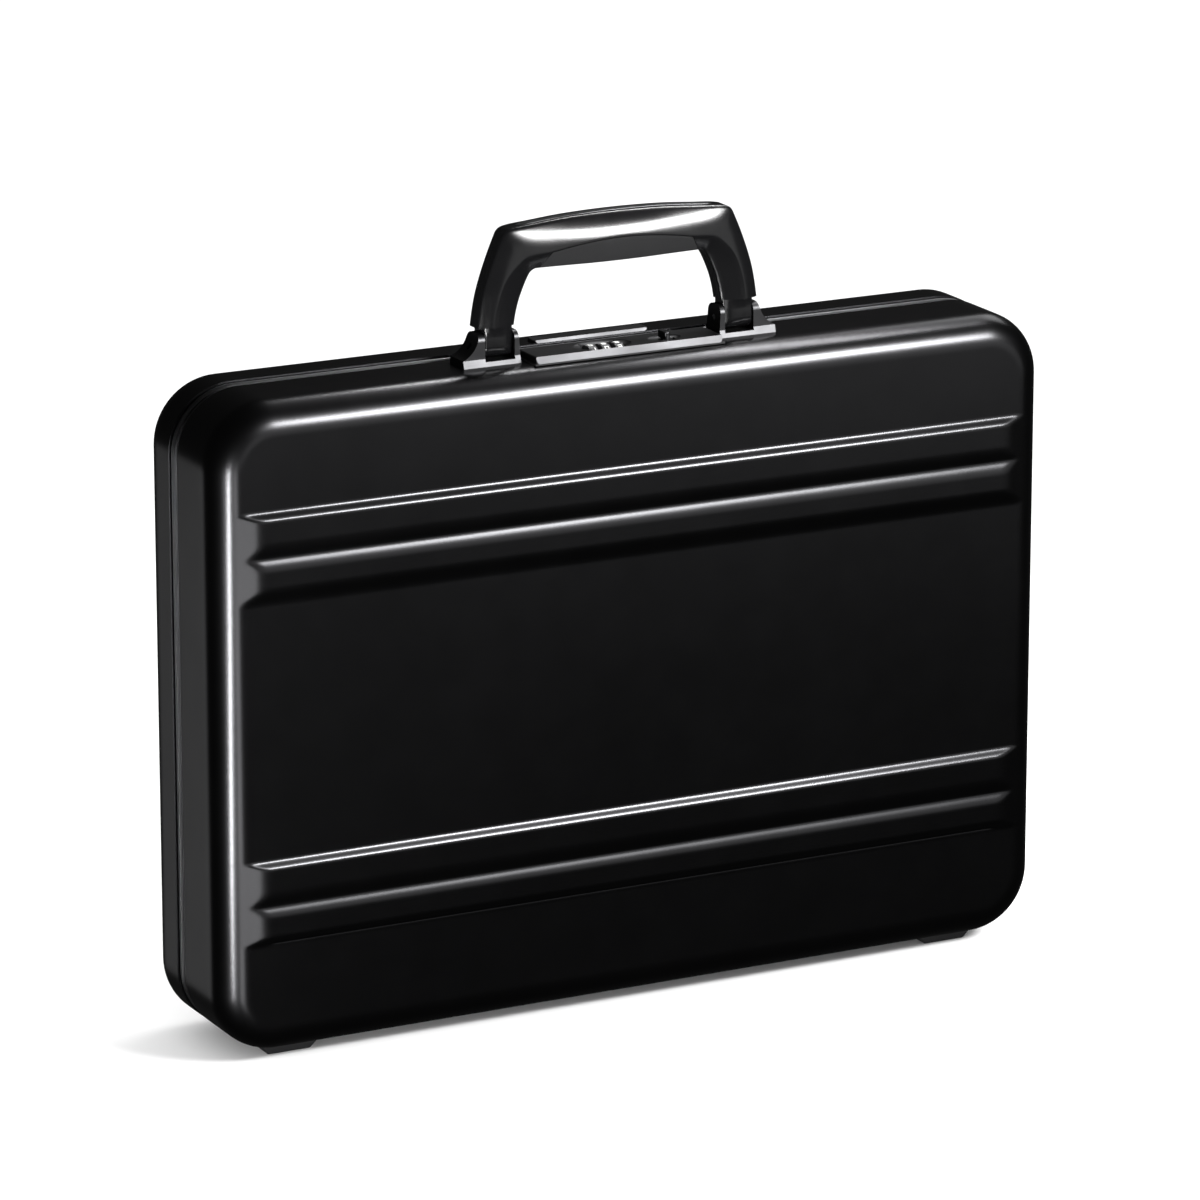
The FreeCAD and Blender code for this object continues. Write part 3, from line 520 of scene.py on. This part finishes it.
def loft(name, sections, mat, deg=35):
    """sections: lists of (x, z, half depth), mirrored front to back and skinned"""
    rows = []
    for sec in sections:
        f = [(x, HY - w, z) for x, z, w in sec]
        b = [(x, HY + w, z) for x, z, w in sec[::-1]]
        rows.append(f + b)
    m = len(rows[0])
    V = [v for r in rows for v in r]
    F = []
    for i in range(len(rows) - 1):
        for j in range(m):
            j2 = (j + 1) % m
            F.append((i * m + j, (i + 1) * m + j, (i + 1) * m + j2, i * m + j2))
    F.append(tuple(range(m)))
    F.append(tuple((len(rows) - 1) * m + j for j in reversed(range(m))))
    o = mesh_obj(name, V, F, mat)
    merge(o, 1e-6)
    sharp(o, deg)
    return o


def us(a, b, n):
    return list(np.linspace(a, b, n))


UL = us(0, K_GRIP, 57)
UM = us(K_GRIP, NST - K_GRIP, 61)
UR = us(NST - K_GRIP, NST, 57)


def core_pts(c):
    # above the insert the skin closes with a flat underside just over the crease
    C, wc = c[2:4], c[7]
    up = (c[4:6] - C) / np.linalg.norm(c[4:6] - C)
    p = C + up * 0.12
    n = len(LOW)
    return [(p[0], p[1], (wc - 0.5) * k / n + 0.05) for k in range(n)]


secs = [low_pts(station(u)) + upp_pts(station(u)) for u in UL]
secs += [core_pts(station(u)) + upp_pts(station(u)) for u in UM]
secs += [low_pts(station(u)) + upp_pts(station(u)) for u in UR]
hb = loft("handle_skin_body", secs, M["handle_skin"])
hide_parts("handle_body")
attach(hb, "handle")

secs = []
e = 0.03
for u in us(K_GRIP + e, NST - K_GRIP - e, 61):
    c = station(u)
    s_ = low_pts(c, inset=0.10, hi=0.985)
    lx, lz, lw = s_[-1]
    C = c[2:4]
    d = (C - c[0:2]) / np.linalg.norm(C - c[0:2])
    q = C - d * 0.30
    s_ += [(q[0], q[1], c[7] - 0.32), (q[0], q[1], c[7] * 0.5), (q[0], q[1], 0.3)]
    secs.append(s_)
gi = loft("handle_grip_pad", secs, M["grip"])
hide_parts("handle_grip_insert")
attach(gi, "handle")


def tang(sgn):
    """leg end between the bracket ears, rounded about the pivot"""
    rows = []
    prof = [(56.65, 4.2), (57.4, 4.75), (61.5, 6.0), (66.2, 7.15), (66.9, 7.2), (67.6, 7.05), (70.8, 6.1), (71.55, 5.5)]
    zs_ = [332.0 - 6.3 * math.cos(math.radians(t)) for t in range(0, 91, 9)] + [336.0, 340.0, 341.6]
    for z in zs_:
        lim = 6.3 if z < 340.5 else 99.0
        if z < 332.0:
            lim = math.sqrt(max(6.3 ** 2 - (332.0 - z) ** 2, 0.02))
        row = [(sgn * x, HY - min(w, lim), z) for x, w in prof] + [(sgn * x, HY + min(w, lim), z) for x, w in prof[::-1]]
        rows.append(row)
    m = len(rows[0])
    V = [v for r in rows for v in r]
    F = []
    for i in range(len(rows) - 1):
        for j in range(m):
            j2 = (j + 1) % m
            F.append((i * m + j, (i + 1) * m + j, (i + 1) * m + j2, i * m + j2))
    F.append(tuple(range(m)))
    F.append(tuple((len(rows) - 1) * m + j for j in reversed(range(m))))
    o = mesh_obj("handle_tang_" + ("right" if sgn > 0 else "left"), V, F, M["handle_skin"])
    merge(o, 1e-6)
    sharp(o, 35)
    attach(o, "handle")
    return o


tl, tr = tang(-1), tang(1)

# narrow strip along the crown of the handle
sx = np.linspace(-52, 52, 61)
R = (56.6 ** 2 + 3.4 ** 2) / (2 * 3.4)
V, F = [], []
for x in sx:
    z = 391.0 - R + math.sqrt(R * R - x * x) - 0.03
    e = min(1.0, (52.0 - abs(x)) / 1.2) ** 0.5 if abs(x) < 52 else 0.35
    e = max(e, 0.35)
    for y, dz in ((-2.0, -0.9), (-2.0, -0.12), (-1.85, 0.0), (0, 0.0), (1.85, 0.0), (2.0, -0.12), (2.0, -0.9)):
        V.append((x, HY + y * e, z + dz))
for i in range(len(sx) - 1):
    for j in range(7):
        j2 = (j + 1) % 7
        F.append((i * 7 + j, (i + 1) * 7 + j, (i + 1) * 7 + j2, i * 7 + j2))
F.append(tuple(range(7)))
F.append(tuple((len(sx) - 1) * 7 + j for j in reversed(range(7))))
st = mesh_obj("handle_crown_strip", V, F, M["trim"])
merge(st, 1e-6)
sharp(st, 38)
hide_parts("handle_top_strip")
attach(st, "handle")

# ------------------------------------------------------------------ numbers painted on the dials
DIAL_XC, DIAL_YC, DIAL_ZC, DIAL_RC = (-17.2, -10.2, -3.2), -19.6, 320.1, 7.6
GLYPH = {0: "abcdef", 1: "bc", 2: "abged", 3: "abgcd", 4: "fgbc", 5: "afgcd", 6: "afgedc", 7: "abc", 8: "abcdefg", 9: "abcdfg"}
SEG = {"a": (-1, 1, 1, 1), "b": (1, 1, 1, 0), "c": (1, 0, 1, -1), "d": (1, -1, -1, -1), "e": (-1, -1, -1, 0), "f": (-1, 0, -1, 1), "g": (-1, 0, 1, 0)}


def dial_numbers(k, xc):
    V, F = [], []
    hw, hh, t = 0.85, 1.25, 0.24
    for n in range(10):
        a0 = math.radians(90 + 36 * (n + k))
        for seg in GLYPH[n]:
            x0, z0, x1, z1 = SEG[seg]
            if x0 == x1:
                bx = (x0 * hw - t, x0 * hw + t)
                bz = (min(z0, z1) * hh - t * 0.6, max(z0, z1) * hh + t * 0.6)
            else:
                bx = (-hw - t * 0.6, hw + t * 0.6)
                bz = (z0 * hh - t, z0 * hh + t)
            for r0, r1 in ((DIAL_RC - 0.25, DIAL_RC + 0.07),):
                b = len(V)
                for r in (r0, r1):
                    for px, pz in ((bx[0], bz[0]), (bx[1], bz[0]), (bx[1], bz[1]), (bx[0], bz[1])):
                        a = a0 + pz / DIAL_RC
                        V.append((xc + px, DIAL_YC + r * math.cos(a), DIAL_ZC + r * math.sin(a)))
                F += [(b, b + 1, b + 2, b + 3), (b + 7, b + 6, b + 5, b + 4), (b, b + 4, b + 5, b + 1), (b + 1, b + 5, b + 6, b + 2), (b + 2, b + 6, b + 7, b + 3), (b + 3, b + 7, b + 4, b)]
    o = mesh_obj("dial_numbers_%d" % (k + 1), V, F, M["digit"], smooth=False)
    bm_ = bmesh.new()
    bm_.from_mesh(o.data)
    bmesh.ops.recalc_face_normals(bm_, faces=bm_.faces)
    bm_.to_mesh(o.data)
    bm_.free()
    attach(o, DIAL_BODY[k])
    return o


DIAL_BODY = ["dial_wheel_1", "dial_wheel_2", "dial_wheel_3"]
for k_, x_ in enumerate(DIAL_XC):
    dial_numbers(k_, x_)


# ------------------------------------------------------------------ linings, pocket and loops
def lining(name, node, y_face, y_rim, body, cuts):
    """cloth over thin foam: soft crown on the big face, quilted border seam, rolled rim"""
    s = -1.0 if y_face < y_rim else 1.0
    L0, LT = 1.65, 2.9
    xs = spaced(-XC, XC, 9.0)
    zz = spaced(ZC0, ZC1, 9.0)
    loops = []
    r_o = RE - L0
    yo = y_face - s * L0
    r_i = RE - L0 - LT
    yi = y_face - s * (L0 + LT)
    arcs = [math.radians(a) for a in range(9, 91, 9)]
    ys = yo - s * r_o
    outer = [(L0, y) for y in np.linspace(y_rim, ys, 5)]
    outer += [(L0 + r_o * (1 - math.cos(a)), yo - s * r_o * (1 - math.sin(a))) for a in arcs]
    outer += [(n, yo) for n in (18.0, 22.0, 27.0, RC)]
    inner = [(L0 + LT * f, y_rim + s * 0.0 - s * dy) for f, dy in ((0.12, 0.5), (0.5, 0.85), (0.88, 0.5), (1.0, -0.4))]
    inner += [(L0 + LT, y) for y in np.linspace(y_rim + s * 1.2, yi - s * r_i, 5)]
    inner += [(L0 + LT + r_i * (1 - math.cos(a)), yi - s * r_i * (1 - math.sin(a))) for a in arcs]
    inner += [(n, yi) for n in (17.0, 18.6, 19.6, 20.6, 22.0, 25.0, 28.0, RC)]
    V, F = [], []

    def skin(rows, puff):
        m = None
        base = len(V)
        for n, y in rows:
            P = ring_xz(min(n, RC - 0.001), xs, zz, 7)
            m = len(P)
            for x, z in P:
                V.append([x, y - s * puff(n, x, z) if puff else y, z])
        for i in range(len(rows) - 1):
            for j in range(m):
                j2 = (j + 1) % m
                F.append((base + i * m + j, base + i * m + j2, base + (i + 1) * m + j2, base + (i + 1) * m + j))
        yy = rows[-1][1]
        b2 = len(V)
        for z in zz:
            for x in xs:
                V.append([x, yy - s * puff(RC, x, z) if puff else yy, z])
        nx = len(xs)
        for i in range(len(zz) - 1):
            for j in range(nx - 1):
                a = b2 + i * nx + j
                F.append((a, a + 1, a + nx + 1, a + nx))
        return base, m

    def puff(n, x, z):
        if n < 16.5:
            return 0.0
        groove = -0.55 * math.exp(-((n - 19.6) / 0.8) ** 2)
        q = min(1.0, max(0.0, (n - 20.0) / 12.0))
        wob = 0.16 * math.sin(x * 0.043 + 1.3) * math.sin(z * 0.057) + 0.10 * math.sin(x * 0.11 + z * 0.09)
        return groove + q * (0.25 + wob * 0.8)

    b0, m0 = skin(outer, None)
    b1, m1 = skin(inner, puff)
    for j in range(m0):
        j2 = (j + 1) % m0
        F.append((b0 + j, b1 + j, b1 + j2, b0 + j2))
    V = np.array(V)
    C = np.array([V[list(f)].mean(0) for f in F])
    keep = np.ones(len(F), bool)
    F = [f for f, k in zip(F, keep) if k]
    o = mesh_obj(name, V, F, M["lining"])
    merge(o, 2e-6)
    for x0, x1, y0, y1, z0, z1 in cuts:
        c = bpy.data.meshes.new("c")
        bmc = bmesh.new()
        bmesh.ops.create_cube(bmc, size=1.0)
        for v in bmc.verts:
            v.co = Vector((((x0 + x1) / 2 + v.co.x * (x1 - x0)) * MM, ((y0 + y1) / 2 + v.co.y * (y1 - y0)) * MM, ((z0 + z1) / 2 + v.co.z * (z1 - z0)) * MM))
        bmc.to_mesh(c)
        bmc.free()
        co_ = bpy.data.objects.new("c", c)
        scene.collection.objects.link(co_)
        md = o.modifiers.new("b", "BOOLEAN")
        md.operation = "DIFFERENCE"
        md.solver = "EXACT"
        md.object = co_
        apply_mods(o)
        bpy.data.objects.remove(co_)
        bpy.data.meshes.remove(c)
    o.data.materials.clear()
    o.data.materials.append(M["lining"])
    sharp(o, 50)
    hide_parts(node)
    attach(o, body)
    return o


lining("lining_base_cloth", "base_lining", YF, -9.9, "base",
       [(-88, 88, -30.0, -5, 300, 330), (-150, 150, -12.0, -5, 0, 12), (-200, -160, -20.5, -5, 0, 12), (160, 200, -20.5, -5, 0, 12)])
lining("lining_lid_cloth", "lid_lining", YR, 22.5, "lid",
       [(-30, 30, 15, 26.0, 300, 330), (-150, 150, 15, 24, 0, 12), (-200, -160, 14, 23.5, 0, 12), (160, 200, 14, 23.5, 0, 12)])


def puffed_panel(name, x0, x1, z0, z1, y_back, thick, puff, mat, r=8.0, hem=3.0, top_sag=0.0, nx=60, nz=36):
    """flat sewn panel in the lid: back against the lining, front (towards -Y) puffed between stitched edges"""
    V, F = [], []
    gx = np.linspace(x0, x1, nx + 1)
    gz = np.linspace(z0, z1, nz + 1)

    def warp(x, z):
        # round the two lower corners
        for cx_, sg in ((x0 + r, -1), (x1 - r, 1)):
            if (x - cx_) * sg > 0 and z < z0 + r:
                dx, dz = abs(x - cx_), (z0 + r) - z
                k = max(dx, dz)
                L = math.hypot(dx, dz)
                if L > 0:
                    x, z = cx_ + sg * dx * k / L, (z0 + r) - dz * k / L
        return x, z

    def front(x, z, u, v):
        ex = min(u, 1 - u) * (x1 - x0)
        ez = v * (z1 - z0)
        et = (1 - v) * (z1 - z0)
        e = min(ex, ez)
        h = puff * min(1.0, max(0.0, (e - hem) / 26.0)) ** 0.6 if e > hem else 0.0
        seam = -0.45 * math.exp(-((e - hem) / 0.7) ** 2)
        rim = 0.5 * math.exp(-((et - 1.8) / 1.6) ** 2) - 0.35 * math.exp(-((et - 6.5) / 0.7) ** 2)
        wr = 0.35 * math.sin(x * 0.05 + z * 0.03) * math.sin(z * 0.045 + 0.8) * min(1.0, max(0.0, e / 40.0))
        edge = -0.5 * math.exp(-e / 0.8)
        return thick + h + seam + rim + wr + edge

    for side in (0, 1):
        for i, z in enumerate(gz):
            for j, x in enumerate(gx):
                u, v = j / nx, i / nz
                wx, wz = warp(x, z)
                wz -= top_sag * (v ** 8) * math.sin(math.pi * u) ** 0.5 if 0 < u < 1 else 0.0
                y = y_back if side else y_back - front(x, z, u, v)
                V.append((wx, y, wz))
    n1 = nx + 1
    off = n1 * (nz + 1)
    for i in range(nz):
        for j in range(nx):
            a = i * n1 + j
            F.append((a, a + 1, a + n1 + 1, a + n1))
            F.append((off + a, off + a + n1, off + a + n1 + 1, off + a + 1))
    border = [j for j in range(n1)] + [i * n1 + nx for i in range(1, nz + 1)] + [nz * n1 + j for j in range(nx - 1, -1, -1)] + [i * n1 for i in range(nz - 1, 0, -1)]
    for k in range(len(border)):
        a, b_ = border[k], border[(k + 1) % len(border)]
        F.append((a, off + a, off + b_, b_))
    o = mesh_obj(name, V, F, mat)
    merge(o, 1e-6)
    sharp(o, 60)
    return o


def stitches(name, pts, body, y_of, length=2.2, gap=1.5, rad=0.28):
    """short rounded thread stitches along a polyline in x, z"""
    V, F = [], []
    acc = 0.0
    P = [np.array(p, float) for p in pts]
    for a, b_ in zip(P[:-1], P[1:]):
        L = np.linalg.norm(b_ - a)
        d = (b_ - a) / L
        t = gap / 2
        while t + length < L:
            p0, p1 = a + d * t, a + d * (t + length)
            nrm = np.array([-d[1], d[0]])
            base = len(V)
            secs_ = ((p0, 0.35, 0.0), (p0 + d * 0.35, 1.0, 0.0), (p1 - d * 0.35, 1.0, 0.0), (p1, 0.35, 0.0))
            for c, k, _ in secs_:
                y = y_of(c[0], c[1])
                for q in range(6):
                    an = math.pi * 2 * q / 6
                    w_ = nrm * rad * k * math.cos(an)
                    V.append((c[0] + w_[0], y - rad * k * math.sin(an) * 0.8, c[1] + w_[1]))
            for i in range(3):
                for q in range(6):
                    q2 = (q + 1) % 6
                    F.append((base + i * 6 + q, base + i * 6 + q2, base + (i + 1) * 6 + q2, base + (i + 1) * 6 + q))
            F.append(tuple(base + q for q in reversed(range(6))))
            F.append(tuple(base + 18 + q for q in range(6)))
            t += length + gap
    o = mesh_obj(name, V, F, M["thread"])
    bm_ = bmesh.new()
    bm_.from_mesh(o.data)
    bmesh.ops.recalc_face_normals(bm_, faces=bm_.faces)
    bm_.to_mesh(o.data)
    bm_.free()
    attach(o, body)
    return o


pk = puffed_panel("pocket_leather", -196.0, 196.0, 22.0, 226.0, 35.6, 2.2, 1.4, M["pocket"], top_sag=1.5)
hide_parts("document_pocket")
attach(pk, "lid")
stitches("pocket_stitching", [(-193.0, 219.5), (-193.0, 31.0), (-187.0, 25.2), (187.0, 25.2), (193.0, 31.0), (193.0, 219.5)], "lid", lambda x, z: 33.62)
stitches("pocket_hem_stitching", [(-186.0, 219.4), (186.0, 219.4)], "lid", lambda x, z: 32.0)


def loop_pair():
    """two elastic loops: flat tubes of web"""
    V, F = [], []
    for xc in (70.0, 92.0):
        n, nz = 40, 12
        prof = []
        for k in range(n):
            a = 2 * math.pi * k / n
            cx_, cy_ = math.cos(a), math.sin(a)
            w_, h_ = 6.6, 3.9
            e = 2.4
            px = abs(cx_) ** (2 / e) * w_ * (1 if cx_ >= 0 else -1)
            py = abs(cy_) ** (2 / e) * h_ * (1 if cy_ >= 0 else -1)
            prof.append((px, py))
        base = len(V)
        for i in range(nz + 1):
            z = 244.0 + 24.0 * i / nz
            belly = 1.0 + 0.04 * math.sin(math.pi * i / nz)
            for px, py in prof:
                V.append((xc + px * belly, 31.7 + py * belly * 0.98, z))
            for px, py in prof:
                V.append((xc + px * belly * 0.82, 31.7 + py * belly * 0.72, z))
        for i in range(nz):
            for k in range(n):
                k2 = (k + 1) % n
                a = base + i * 2 * n
                F.append((a + k, a + k2, a + 2 * n + k2, a + 2 * n + k))
                F.append((a + n + k, a + 2 * n + n + k, a + 2 * n + n + k2, a + n + k2))
        for i, fl in ((0, False), (nz, True)):
            for k in range(n):
                k2 = (k + 1) % n
                a = base + i * 2 * n
                f = (a + k, a + n + k, a + n + k2, a + k2)
                F.append(f[::-1] if fl else f)
    o = mesh_obj("pen_loops_web", V, F, M["elastic"])
    bm_ = bmesh.new()
    bm_.from_mesh(o.data)
    bmesh.ops.recalc_face_normals(bm_, faces=bm_.faces)
    bm_.to_mesh(o.data)
    bm_.free()
    sharp(o, 50)
    return o


lp_ = loop_pair()
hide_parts("pen_loops")
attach(lp_, "lid")

# ------------------------------------------------------------------ camera
cam = bpy.data.cameras.new("photo_camera")
cam.sensor_width = 36.0
cam.lens = 6725.2 / 1200.0 * 36.0
cam.clip_start = 0.05
cam.clip_end = 100.0
co = bpy.data.objects.new("photo_camera", cam)
scene.collection.objects.link(co)
co.location = (-1.43268, -2.78463, 1.07801)
co.rotation_euler = (math.pi / 2 - 0.27491, 0.0, -0.47468)
scene.camera = co

# ------------------------------------------------------------------ floor, backdrop light and studio lights
fm, nt, b = new_mat("studio_floor")
b.inputs["Base Color"].default_value = (0.93, 0.93, 0.93, 1)
b.inputs["Roughness"].default_value = 0.9
b.inputs["Specular IOR Level"].default_value = 0.0
bm = bmesh.new()
bmesh.ops.create_grid(bm, x_segments=2, y_segments=2, size=30.0)
me = bpy.data.meshes.new("floor")
bm.to_mesh(me)
bm.free()
floor = bpy.data.objects.new("floor", me)
me.materials.append(fm)
scene.collection.objects.link(floor)
floor.visible_glossy = False
floor.visible_shadow = False

w = bpy.data.worlds.new("studio")
scene.world = w
w.use_nodes = True
wn = w.node_tree
wn.nodes.clear()
wo = wn.nodes.new("ShaderNodeOutputWorld")
bg = wn.nodes.new("ShaderNodeBackground")
lp = wn.nodes.new("ShaderNodeLightPath")
mr = wn.nodes.new("ShaderNodeMapRange")
mr.inputs["To Min"].default_value = 1.1
mr.inputs["To Max"].default_value = 0.02
wn.links.new(lp.outputs["Is Glossy Ray"], mr.inputs["Value"])
bg.inputs["Color"].default_value = (1, 1, 1, 1)
wn.links.new(mr.outputs["Result"], bg.inputs["Strength"])
wn.links.new(bg.outputs["Background"], wo.inputs["Surface"])
w.cycles.sampling_method = "NONE"

scene.view_settings.view_transform = "Standard"
scene.view_settings.look = "None"
scene.view_settings.exposure = 0.0
scene.view_settings.gamma = 1.0


def area(name, at, to, sx, sy, radiance, up=(0, 0, 1)):
    l = bpy.data.lights.new(name, "AREA")
    l.shape = "RECTANGLE"
    l.size, l.size_y = sx, sy
    l.energy = radiance * math.pi * sx * sy
    o = bpy.data.objects.new(name, l)
    scene.collection.objects.link(o)
    z = (Vector(at) - Vector(to)).normalized()
    x = Vector(up).cross(z).normalized()
    y = z.cross(x)
    o.matrix_world = Matrix.Translation(at) @ Matrix((x, y, z)).transposed().to_4x4()
    o.visible_camera = False
    return o


area("strip_front", (0.481, -0.904, 0.764), (-0.02, -0.04, 0.28), 0.42, 0.26, 60.0)
area("strip_top", (0.30, 0.116, 0.85), (-0.02, -0.03, 0.32), 0.60, 0.034, 42.0)
area("strip_left", (-0.545, -0.515, 0.03), (-0.222, -0.035, 0.16), 0.05, 0.34, 77.0, up=(0.35, -0.25, 0.9))
area("strip_left_low", (-0.288, -0.703, -0.045), (-0.206, -0.041, 0.17), 0.17, 0.42, 3.5, up=(0.05, -0.3, 0.9))
area("fill_front", (0.66, -1.30, 0.20), (0.0, -0.04, 0.25), 1.5, 0.46, 0.50)
area("fill_left", (-0.80, 0.86, -0.17), (-0.22, 0.0, 0.12), 0.5, 0.5, 0.4)
area("key_right", (1.4, 0.6, 1.6), (0.0, 0.0, 0.1), 0.8, 0.8, 3.0)
